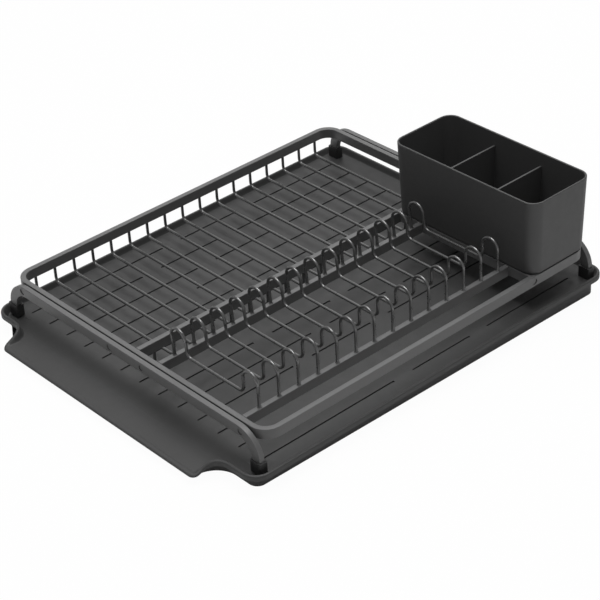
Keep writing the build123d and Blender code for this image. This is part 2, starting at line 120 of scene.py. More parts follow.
@dataclass(frozen=True)
class Deck:
    """Where the deck frame lies in the part's frame.

    Attributes:
        origin: the middle of the rim rail's top, in metres.
        up: the deck's own Z, which is also the way the rack lifts off.
    """

    origin: Vector
    up: Vector

    @classmethod
    def from_frame(cls, rail_height: float) -> "Deck":
        """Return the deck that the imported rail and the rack's lift give.

        Args:
            rail_height: the rail's height in millimetres.

        Returns:
            The deck.
        """
        lift = next(joint for joint in frame["joints"] if joint["name"] == "rack_lift")
        up = Vector(lift["axis"]).normalized()
        low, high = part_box("rim_rail")
        return cls((low + high) / 2 + up * rail_height / 2 * MM, up)

    def turned(self) -> Matrix:
        """Return the deck's lean as a 3 by 3 matrix."""
        along = Vector((0, 1, 0)).cross(self.up)
        return Matrix((along, Vector((0, 1, 0)), self.up)).transposed()

    def placing(self) -> Matrix:
        """Return the move from deck millimetres to the part's metres."""
        return Matrix.Translation(self.origin) @ self.turned().to_4x4() @ Matrix.Scale(MM, 4)

    def drop_to(self, point: Vector, height: float) -> float:
        """Return how far a deck point stands over a level plane, in millimetres along the deck's Z.

        Args:
            point: the point in deck millimetres.
            height: the plane's height over the counter in millimetres.

        Returns:
            The distance, which is negative under the plane.
        """
        return (self.origin.z / MM + (self.turned() @ point).z - height) / self.up.z


class Workpiece:
    """A mesh that is modelled with hand tools, in deck millimetres.

    Attributes:
        SHARP_ANGLE: edges sharper than this are softened, in degrees.
        SMOOTH_ANGLE: edges flatter than this are shaded smooth, in degrees.
        SOFT_STEPS: how many flats a softened edge has.
        obj: the Blender object that holds the mesh.
    """

    SHARP_ANGLE = 40.0
    SMOOTH_ANGLE = 35.0
    SOFT_STEPS = 3

    def __init__(self, name: str) -> None:
        """Start an empty piece and open it for editing.

        Args:
            name: the piece's name.
        """
        if bpy.context.mode != "OBJECT":
            bpy.ops.object.mode_set(mode="OBJECT")
        bpy.ops.object.select_all(action="DESELECT")
        bpy.ops.mesh.primitive_plane_add()
        self.obj = bpy.context.active_object
        self.obj.name = name
        self.obj.data.name = name
        self.open()
        bpy.ops.mesh.delete(type="VERT")

    def open(self) -> None:
        """Make this piece the active one and edit it."""
        if bpy.context.mode != "OBJECT":
            bpy.ops.object.mode_set(mode="OBJECT")
        bpy.ops.object.select_all(action="DESELECT")
        self.obj.select_set(True)
        bpy.context.view_layer.objects.active = self.obj
        bpy.ops.object.mode_set(mode="EDIT")

    def close(self) -> None:
        """Stop editing this piece."""
        self.open()
        bpy.ops.object.mode_set(mode="OBJECT")

    def add(self, primitive: Primitive, size: Vector, centre: Vector, sides: int = 0,
            axis: str = "Z") -> None:
        """Add a primitive at its size and place, and leave it picked.

        Args:
            primitive: the shape to start from.
            size: its extent along X, Y and Z.
            centre: its middle.
            sides: how many sides a circle or cylinder has.
            axis: the axis that a circle or cylinder stands along.
        """
        bpy.ops.mesh.select_all(action="DESELECT")
        settings = {"vertices": sides, "radius": 0.5} if sides else {"size": 1}
        if primitive is Primitive.CYLINDER:
            settings["depth"] = 1
        if axis != "Z":
            settings["rotation"] = (0, pi / 2, 0) if axis == "X" else (pi / 2, 0, 0)
        getattr(bpy.ops.mesh, primitive.value)(**settings)
        bpy.ops.transform.resize(value=size, center_override=(0, 0, 0))
        bpy.ops.transform.translate(value=centre)

    def pick(self, kind: Kind, test: Test) -> None:
        """Select what passes a test, and nothing else.

        Args:
            kind: vertices, edges or faces.
            test: says of the middle of each whether it is picked.
        """
        bpy.ops.mesh.select_mode(type=kind.name)
        bpy.ops.mesh.select_all(action="DESELECT")
        mesh = bmesh.from_edit_mesh(self.obj.data)
        for item in getattr(mesh, kind.value):
            corners = [item] if kind is Kind.VERT else list(item.verts)
            middle = sum((corner.co for corner in corners), Vector()) / len(corners)
            if test(middle):
                item.select_set(True)
        mesh.select_flush_mode()
        bmesh.update_edit_mesh(self.obj.data)

    def pick_all(self, kind: Kind = Kind.FACE) -> None:
        """Select the whole mesh."""
        bpy.ops.mesh.select_mode(type=kind.name)
        bpy.ops.mesh.select_all(action="SELECT")

    def extrude(self, move: Vector) -> None:
        """Extrude what is picked, and move it."""
        bpy.ops.mesh.extrude_region_move(TRANSFORM_OT_translate={"value": move})

    def scale(self, factors: Vector, about: Vector) -> None:
        """Scale what is picked about a point."""
        bpy.ops.transform.resize(value=factors, center_override=about)

    def inset(self, width: float, rise: float = 0.0) -> None:
        """Inset the picked faces by a width, and raise the inner ones."""
        bpy.ops.mesh.inset(thickness=width, depth=rise, use_even_offset=True)

    def round_corners(self, radius: float, steps: int) -> None:
        """Round the picked vertices of a flat outline."""
        bpy.ops.mesh.bevel(offset=radius, segments=steps, affect="VERTICES")

    def round_edges(self, radius: float, steps: int) -> None:
        """Round the picked edges."""
        bpy.ops.mesh.bevel(offset=radius, segments=steps, affect="EDGES")

    def bisect(self, point: Vector, normal: Vector, drop_below: bool = False) -> None:
        """Cut what is picked with a plane, and drop what lies behind it if asked."""
        bpy.ops.mesh.bisect(plane_co=point, plane_no=normal, clear_inner=drop_below)

    def spin(self, angle: float, steps: int, centre: Vector, axis: Vector) -> None:
        """Sweep what is picked round an axis through a centre."""
        bpy.ops.mesh.spin(angle=angle, steps=steps, center=centre, axis=axis)

    def delete(self, kind: Kind) -> None:
        """Delete what is picked."""
        bpy.ops.mesh.delete(type=kind.name)

    def fill(self) -> None:
        """Close the picked loop with one face."""
        bpy.ops.mesh.edge_face_add()

    def merge(self, distance: float) -> None:
        """Merge all vertices that lie within a distance of each other."""
        self.pick_all()
        bpy.ops.mesh.remove_doubles(threshold=distance)

    def face_out(self) -> None:
        """Merge doubles and point every face outwards."""
        self.merge(SAME_POINT)
        bpy.ops.mesh.normals_make_consistent(inside=False)

    def reshape(self, rule: Callable[[Vector], Vector], picked_only: bool = False) -> None:
        """Move each vertex by a rule.

        Args:
            rule: gives a vertex's new place from its old one.
            picked_only: leave vertices that aren't picked.
        """
        mesh = bmesh.from_edit_mesh(self.obj.data)
        for vertex in mesh.verts:
            if vertex.select or not picked_only:
                vertex.co = rule(vertex.co)
        bmesh.update_edit_mesh(self.obj.data)

    def modify(self, kind: str, **settings: object) -> None:
        """Add a modifier with its settings and apply it.

        Args:
            kind: the modifier's type name.
            settings: its properties.
        """
        self.close()
        modifier = self.obj.modifiers.new(kind.lower(), kind)
        for setting, value in settings.items():
            setattr(modifier, setting, value)
        bpy.ops.object.modifier_apply(modifier=modifier.name)

    def soften(self, width: float) -> None:
        """Round every sharp edge by a width."""
        self.modify("BEVEL", width=width, segments=self.SOFT_STEPS, limit_method="ANGLE",
                    angle_limit=radians(self.SHARP_ANGLE))

    def work_in(self, other: "Workpiece", join: Join) -> None:
        """Cut another shape out of this one, or fuse it on, and drop the other.

        Args:
            other: the other shape.
            join: whether it is cut out or fused on.
        """
        other.close()
        self.modify("BOOLEAN", object=other.obj, operation=join.value, solver="EXACT")
        bpy.data.objects.remove(other.obj)

    def turn(self, matrix: Matrix) -> None:
        """Turn and move the whole mesh.

        Args:
            matrix: the move, of 4 by 4 values.
        """
        self.close()
        self.obj.matrix_world = matrix
        bpy.ops.object.transform_apply(location=True, rotation=True, scale=True)

    def copy(self, name: str, move: Vector) -> "Workpiece":
        """Return a copy with its own mesh, moved.

        Args:
            name: the copy's name.
            move: how far it moves.

        Returns:
            The copy.
        """
        self.close()
        bpy.ops.object.duplicate(linked=False)
        twin = object.__new__(Workpiece)
        twin.obj = bpy.context.active_object
        twin.obj.name = name
        twin.obj.data.name = name
        twin.turn(Matrix.Translation(move))
        return twin

    def settle(self, deck: Deck) -> bpy.types.Object:
        """Set the piece down in the part's frame, with its faces smoothed.

        Args:
            deck: where the deck frame lies.

        Returns:
            The finished object, unturned at the origin.
        """
        self.turn(deck.placing())
        bpy.ops.object.shade_smooth_by_angle(angle=radians(self.SMOOTH_ANGLE))
        self.modify("WEIGHTED_NORMAL", keep_sharp=True)
        return self.obj


def linear(colour: str) -> tuple[float, float, float, float]:
    """Return an sRGB hex colour as linear red, green, blue and alpha.

    Args:
        colour: six hex digits after a hash.

    Returns:
        The four channels.
    """
    channels = [int(colour[start:start + 2], 16) / 255 for start in (1, 3, 5)]
    red, green, blue = [c / 12.92 if c <= 0.04045 else ((c + 0.055) / 1.055) ** 2.4 for c in channels]
    return red, green, blue, 1.0


def add_node(tree: bpy.types.NodeTree, kind: str, settings: dict, inputs: dict) -> bpy.types.Node:
    """Add a shader node with its settings, and set or link its inputs.

    Args:
        tree: the node tree it goes into.
        kind: the node's type name.
        settings: the node's own properties.
        inputs: a value or another node's output for each input, by name or number.

    Returns:
        The new node.
    """
    node = tree.nodes.new(kind)
    for setting, value in settings.items():
        setattr(node, setting, value)
    for name, value in inputs.items():
        if isinstance(value, bpy.types.NodeSocket):
            tree.links.new(value, node.inputs[name])
        else:
            node.inputs[name].default_value = value
    return node


@dataclass(frozen=True)
class Finish:
    """A procedural finish with a faint mottle, an uneven gloss and a fine grain.

    Attributes:
        name: the material's name.
        deep: the colour in the mottle's hollows.
        pale: the colour on its crests.
        mottle_mm: the size of the mottle's clouds.
        gloss: the lowest and the highest roughness.
        gloss_mm: the size of the patches of like gloss.
        grain_mm: the size of the surface's grain.
        grain_deep_mm: how deep the grain is.
        ior: the refractive index of the surface.
    """

    name: str
    deep: str
    pale: str
    mottle_mm: float
    gloss: tuple[float, float]
    gloss_mm: float
    grain_mm: float
    grain_deep_mm: float
    ior: float = 1.5

    def make(self) -> bpy.types.Material:
        """Build the finish's node tree.

        Returns:
            The material.
        """
        material = bpy.data.materials.new(self.name)
        material.use_nodes = True
        tree = material.node_tree
        tree.nodes.clear()
        place = add_node(tree, "ShaderNodeTexCoord", {}, {}).outputs["Object"]
        clouds = add_node(tree, "ShaderNodeTexNoise", {}, {
            "Vector": place, "Scale": 1 / (self.mottle_mm * MM), "Detail": CLOUD_DETAIL})
        colour = add_node(tree, "ShaderNodeMix", {"data_type": "RGBA"}, {
            "Factor": clouds.outputs["Fac"], 6: linear(self.deep), 7: linear(self.pale)})
        patches = add_node(tree, "ShaderNodeTexNoise", {}, {
            "Vector": place, "Scale": 1 / (self.gloss_mm * MM), "Detail": PATCH_DETAIL})
        rough = add_node(tree, "ShaderNodeMapRange", {}, {
            "Value": patches.outputs["Fac"], "From Min": NOISE_LOW, "From Max": NOISE_HIGH,
            "To Min": self.gloss[0], "To Max": self.gloss[1]})
        grain = add_node(tree, "ShaderNodeTexNoise", {}, {
            "Vector": place, "Scale": 1 / (self.grain_mm * MM), "Detail": GRAIN_DETAIL})
        bump = add_node(tree, "ShaderNodeBump", {}, {
            "Height": grain.outputs["Fac"], "Distance": self.grain_deep_mm * MM, "Strength": 1.0})
        surface = add_node(tree, "ShaderNodeBsdfPrincipled", {}, {
            "Base Color": colour.outputs[2], "Roughness": rough.outputs["Result"],
            "Normal": bump.outputs["Normal"], "IOR": self.ior})
        add_node(tree, "ShaderNodeOutputMaterial", {}, {"Surface": surface.outputs["BSDF"]})
        return material


# Powder-coated steel: melted powder leaves a satin skin with a faint orange peel
BAR_COAT = Finish("powder_coated_bar", "#606060", "#646464", 18.0, (0.34, 0.42), 6.0, 1.2, 0.012)

# Dip-coated steel wire: a smooth, flowed coat, with its index set high to give bright thin highlights
WIRE_COAT = Finish("dip_coated_wire", "#3c3c3c", "#404040", 12.0, (0.26, 0.32), 4.0, 1.0, 0.002, 2.2)

# Soft black moulded vinyl of the foot caps: matte, with a fine spark-eroded grain
CAP_VINYL = Finish("moulded_vinyl_cap", "#2c2c2c", "#303030", 6.0, (0.5, 0.6), 3.0, 0.8, 0.012)

# Moulded polypropylene of the holder: matte, even, with the fine grain of an etched mould
HOLDER_PLASTIC = Finish("moulded_polypropylene_holder", "#464646", "#494949", 25.0, (0.48, 0.56),
                        8.0, 1.0, 0.01)

# Moulded polypropylene of the tray: a little darker than the holder, with a slightly coarser grain
TRAY_PLASTIC = Finish("moulded_polypropylene_tray", "#404040", "#444444", 30.0, (0.46, 0.56),
                      10.0, 1.2, 0.012, 1.42)

# Soft rubber of the pads: dull and nearly black
PAD_RUBBER = Finish("pad_rubber", "#232323", "#282828", 5.0, (0.7, 0.8), 3.0, 0.6, 0.02)


@dataclass
class Shop:
    """Where finished pieces are dressed and tied to the frame.

    Attributes:
        deck: where the deck frame lies.
        materials: the materials made so far, by finish name.
    """

    deck: Deck
    materials: dict[str, bpy.types.Material]

    def deliver(self, piece: Workpiece, finish: Finish, slot: str, body: str, *nodes: str) -> None:
        """Set a piece down, dress it, and let it ride on a body in the place of CAD nodes.

        Args:
            piece: the modelled piece.
            finish: its finish.
            slot: the record's material slot; not used.
            body: the body it moves with.
            nodes: the CAD nodes it stands for.
        """
        obj = piece.settle(self.deck)
        if finish.name not in self.materials:
            self.materials[finish.name] = finish.make()
        obj.data.materials.clear()
        obj.data.materials.append(self.materials[finish.name])
        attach(obj, body)
        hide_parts(*nodes)
        LOG.info("%s stands for %s", obj.name, ", ".join(nodes))


@dataclass
class Rack:
    """The welded rack: rim rail, leg bars, straight bars, wires, rivets and foot caps.

    Attributes: sizes are in millimetres, the hoops' lean is in degrees, and the bars' tops lie at Z = 0.
    """

    shop: Shop
    length: float = 450.7
    width: float = 397.4
    corner: float = 20.0
    bar: float = 6.0
    height: float = 11.5
    front_gap: float = 26.75
    plate_span: float = 124.7
    rear_span: float = 34.3
    bay: float = 74.25
    edge: float = 0.7
    corner_flats: int = 16
    leg_gap: float = 1.4
    leg_setback: float = 0.25
    leg_bend: float = 30.0
    floor: float = -42.5
    cap_wall: float = 1.7
    cap_tall: float = 13.0
    cap_floor: float = 2.5
    cap_clearance: float = 0.1
    cap_flats: int = 5
    cap_edge: float = 0.45
    wire: float = 3.2
    wire_sides: int = 20
    bend_flats: int = 8
    hoop_flats: int = 18
    lean_flats: int = 2
    pitch: float = 25.0
    rear_wires: int = 17
    plate_wires: int = 14
    rear_run: float = -30.5
    rear_bend: float = 6.5
    plate_run: float = 6.8
    plate_bend: float = 7.0
    hoop_width: float = 21.0
    hoop_top: float = 34.5
    rear_hoop_top: float = 33.5
    rear_hoop_lean: float = 6.5
    rear_hoop_foot: float = 3.0
    weld_flare: float = 0.9
    weld_tall: float = 1.6
    weld_steps: int = 3
    rivet: float = 7.0
    rivet_sides: int = 32
    rivet_play: float = 0.4
    rivet_edge: float = 0.3
    rivet_sunk: float = 0.8
    rivet_from_end: float = 26.0
    rivet_inner_y: float = 25.3

    @property
    def in_x(self) -> float:
        """Return the X of the rail's inner face."""
        return self.length / 2 - self.bar

    @property
    def in_y(self) -> float:
        """Return the Y of the rail's inner face."""
        return self.width / 2 - self.bar

    @property
    def front_y(self) -> float:
        """Return the front bar's middle."""
        return -self.in_y + self.front_gap + self.bar / 2

    @property
    def middle_y(self) -> float:
        """Return the middle bar's middle."""
        return self.front_y + self.plate_span

    @property
    def rear_y(self) -> float:
        """Return the rear bar's middle."""
        return self.middle_y + self.rear_span

    @property
    def cross_x(self) -> float:
        """Return the cross bar's middle."""
        return self.in_x - self.bay - self.bar / 2

    @property
    def leg_in_x(self) -> float:
        """Return how far out the legs' inner faces lie."""
        return self.length / 2 + self.leg_gap

    @property
    def leg_span(self) -> float:
        """Return the legs' length along Y."""
        return self.width - 2 * self.leg_setback

    @property
    def first_wire_x(self) -> float:
        """Return the X of the leftmost wire."""
        return -self.pitch * (self.rear_wires - 1) / 2

    def rivet_ys(self) -> list[float]:
        """Return the Y of the rivets along a leg."""
        outer = self.leg_span / 2 - self.rivet_from_end
        return [-outer, -self.rivet_inner_y, self.rivet_inner_y, outer]

    def build(self) -> None:
        """Model every piece of the rack."""
        self.rim_rail()
        for side in Side:
            self.leg_bar(side)
        half = self.bar / 2
        cross_left = self.cross_x - half
        self.flat_bar("rear_bar", -self.in_x, self.in_x, self.rear_y - half, self.rear_y + half)
        self.flat_bar("middle_bar", -self.in_x, cross_left, self.middle_y - half, self.middle_y + half)
        self.flat_bar("front_bar", -self.in_x, cross_left, self.front_y - half, self.front_y + half)
        self.flat_bar("cross_bar", cross_left, self.cross_x + half, -self.in_y, self.rear_y - half)
        self.rivets()
        self.foot_caps()
        self.wires("rear_wire", self.rear_wire(), self.rear_wires)
        self.wires("plate_wire", self.plate_wire(), self.plate_wires)

    def recess(self, places: list[Vector], axis: str) -> Workpiece:
        """Return the cutters of the rivets' recesses.

        Args:
            places: the middles of the recesses on a bar's face.
            axis: the axis that they go in along.

        Returns:
            The cutters as one piece.
        """
        cutters = Workpiece("recess_cutters")
        deep = 2 * (self.rivet_sunk + self.edge)
        size = (deep, self.rivet, self.rivet) if axis == "X" else (self.rivet, deep, self.rivet)
        for place in places:
            cutters.add(Primitive.CYLINDER, size, place, self.rivet_sides, axis)
        return cutters

    def rim_rail(self) -> None:
        """Bend the flat bar to a closed loop, and sink the cross bar's rivet into its face."""
        rail = Workpiece("coated_rim_rail")
        rail.add(Primitive.PLANE, (self.length, self.width, 1), (0, 0, 0))
        rail.pick_all(Kind.VERT)
        rail.round_corners(self.corner, self.corner_flats)
        rail.pick_all()
        rail.inset(self.bar)
        rail.delete(Kind.FACE)
        rail.modify("SOLIDIFY", thickness=self.height, offset=-1)
        rail.soften(self.edge)
        place = (self.cross_x, -self.width / 2, -self.height / 2)
        rail.work_in(self.recess([place], "Y"), Join.CUT)
        self.shop.deliver(rail, BAR_COAT, "bar_coat", "rack", "rim_rail")

    def leg_bar(self, side: Side) -> None:
        """Bend a leg's arch, with its ends down in the foot caps.

        Args:
            side: which leg it is.
        """
        foot = self.floor + self.cap_floor
        name = f"{side.name.lower()}_leg_bar"
        leg = Workpiece(f"coated_{name}")
        leg.add(Primitive.PLANE, (self.leg_span, -2 * foot, 1), (0, 0, 0))
        leg.pick_all(Kind.VERT)
        leg.round_corners(self.leg_bend, self.corner_flats)
        leg.pick_all()
        leg.inset(self.height)
        leg.delete(Kind.FACE)
        leg.pick_all()
        leg.bisect((0, 0, 0), (0, 1, 0), drop_below=True)
        leg.modify("SOLIDIFY", thickness=self.bar, offset=0)
        leg.soften(self.edge)
        stand = Matrix(((0, 0, 1, side.value * (self.leg_in_x + self.bar / 2)),
                        (1, 0, 0, 0), (0, 1, 0, foot), (0, 0, 0, 1)))
        leg.turn(stand)
        face = side.value * (self.leg_in_x + self.bar)
        places = [(face, y, -self.height / 2) for y in self.rivet_ys()]
        leg.work_in(self.recess(places, "X"), Join.CUT)
        self.shop.deliver(leg, BAR_COAT, "bar_coat", "rack", name)

    def flat_bar(self, name: str, x0: float, x1: float, y0: float, y1: float) -> None:
        """Cut a straight bar to length, with its ends butted to what it is welded to.

        Args:
            name: the bar's CAD node.
            x0: its left end or face.
            x1: its right end or face.
            y0: its front end or face.
            y1: its back end or face.
        """
        bar = Workpiece(f"coated_{name}")
        bar.add(Primitive.CUBE, (x1 - x0, y1 - y0, self.height),
                ((x0 + x1) / 2, (y0 + y1) / 2, -self.height / 2))
        bar.soften(self.edge)
        self.shop.deliver(bar, BAR_COAT, "bar_coat", "rack", name)

    def rivets(self) -> None:
        """Set the rivets into their recesses."""
        depth = self.bar + self.leg_gap
        wide = self.rivet - self.rivet_play
        heads = Workpiece("coated_leg_rivets")
        for side in Side:
            face = self.leg_in_x + self.bar - self.rivet_sunk
            for y in self.rivet_ys():
                heads.add(Primitive.CYLINDER, (depth, wide, wide),
                          (side.value * (face - depth / 2), y, -self.height / 2), self.rivet_sides, "X")
        heads.soften(self.rivet_edge)
        self.shop.deliver(heads, BAR_COAT, "bar_coat", "rack", "leg_rivets")
        head = Workpiece("coated_cross_bar_rivet")
        face = -self.width / 2 + self.rivet_sunk
        head.add(Primitive.CYLINDER, (wide, depth, wide),
                 (self.cross_x, face + depth / 2, -self.height / 2), self.rivet_sides, "Y")
        head.soften(self.rivet_edge)
        self.shop.deliver(head, BAR_COAT, "bar_coat", "rack", "cross_bar_rivet")

    def foot_caps(self) -> None:
        """Mould one cap and set a copy on each leg end."""
        wall = self.cap_wall + self.cap_clearance
        size = (self.bar + 2 * wall, self.height + 2 * wall, self.cap_tall)
        cap = Workpiece("cap_pattern")
        cap.add(Primitive.CUBE, size, (0, 0, self.cap_tall / 2))
        cap.pick(Kind.EDGE, lambda p: abs(p.z - self.cap_tall / 2) < NEAR)
        cap.round_edges(self.cap_wall, self.cap_flats)
        cap.pick(Kind.FACE, lambda p: p.z > self.cap_tall - NEAR)
        cap.inset(self.cap_wall)
        cap.extrude((0, 0, self.cap_floor - self.cap_tall))
        cap.soften(self.cap_edge)
        for side in Side:
            for end, end_name in ((-1, "front"), (1, "back")):
                name = f"foot_cap_{end_name}_{side.name.lower()}"
                x = side.value * (self.leg_in_x + self.bar / 2)
                y = end * (self.leg_span - self.height) / 2
                twin = cap.copy(f"moulded_{name}", (x, y, self.floor))
                self.shop.deliver(twin, CAP_VINYL, "cap_plastic", "rack", name)
        bpy.data.objects.remove(cap.obj)

    def start_wire(self, y: float, z: float, up: int) -> Workpiece:
        """Return a wire's first ring, flared where it is welded to a bar's face.

        Args:
            y: the place of the wire's end.
            z: the height of the bar's face.
            up: 1 if the wire leaves upwards, -1 if downwards.

        Returns:
            The wire, with its open ring picked.
        """
        bent = Workpiece("wire_pattern")
        wide = self.wire + 2 * self.weld_flare
        bent.add(Primitive.CIRCLE, (wide, wide, 1), (0, y, z), self.wire_sides)
        bent.fill()
        bent.pick_all(Kind.EDGE)
        self.taper(bent, y, z, up, wide, self.wire)
        return bent

    def taper(self, bent: Workpiece, y: float, z: float, way: int, start: float, end: float) -> None:
        """Run on by the weld's height while the wire goes from one diameter to another.

        Args:
            bent: the wire.
            y: where the picked ring's middle is.
            z: its height.
            way: 1 if the wire goes up, -1 if down.
            start: the diameter of the picked ring.
            end: the diameter that it is drawn to.
        """
        width = start
        for step in range(1, self.weld_steps + 1):
            share = step / self.weld_steps
            ease = 1 - (1 - share) ** 2 if end < start else share ** 2
            target = start + (end - start) * ease
            bent.extrude((0, 0, way * self.weld_tall / self.weld_steps))
            bent.scale((target / width, target / width, 1), (0, y, z + way * self.weld_tall * share))
            width = target

    def bend(self, bent: Workpiece, angle: float, flats: int, centre: Vector) -> None:
        """Bend a wire on in the Y-Z plane, round a centre."""
        bent.spin(angle, flats, centre, (1, 0, 0))

    def end_wire(self, bent: Workpiece, y: float, z: float, way: int) -> None:
        """Flare the picked ring to its weld and close it.

        Args:
            bent: the wire.
            y: the place of the wire's end.
            z: the height of the bar's face.
            way: 1 if the wire arrives upwards, -1 if downwards.
        """
        self.taper(bent, y, z - way * self.weld_tall, way, self.wire, self.wire + 2 * self.weld_flare)
        bent.fill()
        bent.face_out()

    def rear_wire(self) -> Workpiece:
        """Bend one rear wire: a U between the undersides of the back rail and the rear bar.

        Returns:
            The wire at X = 0.
        """
        top = -self.height
        back = self.width / 2 - self.bar / 2
        drop = top - self.weld_tall - self.rear_run - self.rear_bend
        bent = self.start_wire(back, top, -1)
        bent.extrude((0, 0, -drop))
        low = self.rear_run + self.rear_bend
        self.bend(bent, pi / 2, self.bend_flats, (0, back - self.rear_bend, low))
        bent.extrude((0, -(back - self.rear_y - 2 * self.rear_bend), 0))
        self.bend(bent, pi / 2, self.bend_flats, (0, self.rear_y + self.rear_bend, low))
        bent.extrude((0, 0, drop))
        self.end_wire(bent, self.rear_y, top, 1)
        return bent

    def plate_wire(self) -> Workpiece:
        """Bend one plate wire: a leaning hoop on the middle bar, a low run and a hoop on the front bar.

        Returns:
            The wire at X = 0.
        """
        radius = self.hoop_width / 2
        spring = self.hoop_top - radius
        low = self.plate_run + self.plate_bend
        front_in = self.front_y + self.hoop_width
        lean = radians(self.rear_hoop_lean)
        along = Vector((0, sin(lean), cos(lean)))
        inward = Vector((0, -cos(lean), sin(lean)))
        foot = Vector((0, self.middle_y, self.rear_hoop_foot))
        kink = self.plate_bend * tan(lean / 2)
        rise = (self.rear_hoop_top - radius * (1 + sin(lean)) - foot.z) / cos(lean)
        middle = foot + along * rise + inward * radius
        inner = middle + inward * radius
        drop = (inner.z - low + self.plate_bend * sin(lean)) / cos(lean)
        turn = inner - along * drop + inward * self.plate_bend
        bent = self.start_wire(self.middle_y, 0, 1)
        bent.extrude((0, 0, foot.z - kink - self.weld_tall))
        self.bend(bent, lean, self.lean_flats, (0, foot.y + self.plate_bend, foot.z - kink))
        bent.extrude(along * (rise - kink))
        self.bend(bent, -pi, self.hoop_flats, middle)
        bent.extrude(along * -drop)
        self.bend(bent, pi / 2 - lean, self.bend_flats, turn)
        bent.extrude((0, front_in - turn.y + self.plate_bend, 0))
        self.bend(bent, pi / 2, self.bend_flats, (0, front_in + self.plate_bend, low))
        bent.extrude((0, 0, spring - low))
        self.bend(bent, -pi, self.hoop_flats, (0, self.front_y + radius, spring))
        bent.extrude((0, 0, self.weld_tall - spring))
        self.end_wire(bent, self.front_y, 0, -1)
        return bent

    def wires(self, name: str, pattern: Workpiece, count: int) -> None:
        """Weld a row of copies of one wire.

        Args:
            name: the CAD nodes' common name.
            pattern: the wire, modelled at X = 0.
            count: how many copies there are.
        """
        for number in range(count):
            node = f"{name}_{number + 1:02d}"
            twin = pattern.copy(f"coated_{node}", (self.first_wire_x + number * self.pitch, 0, 0))
            self.shop.deliver(twin, WIRE_COAT, "wire_coat", "rack", node)
        bpy.data.objects.remove(pattern.obj)


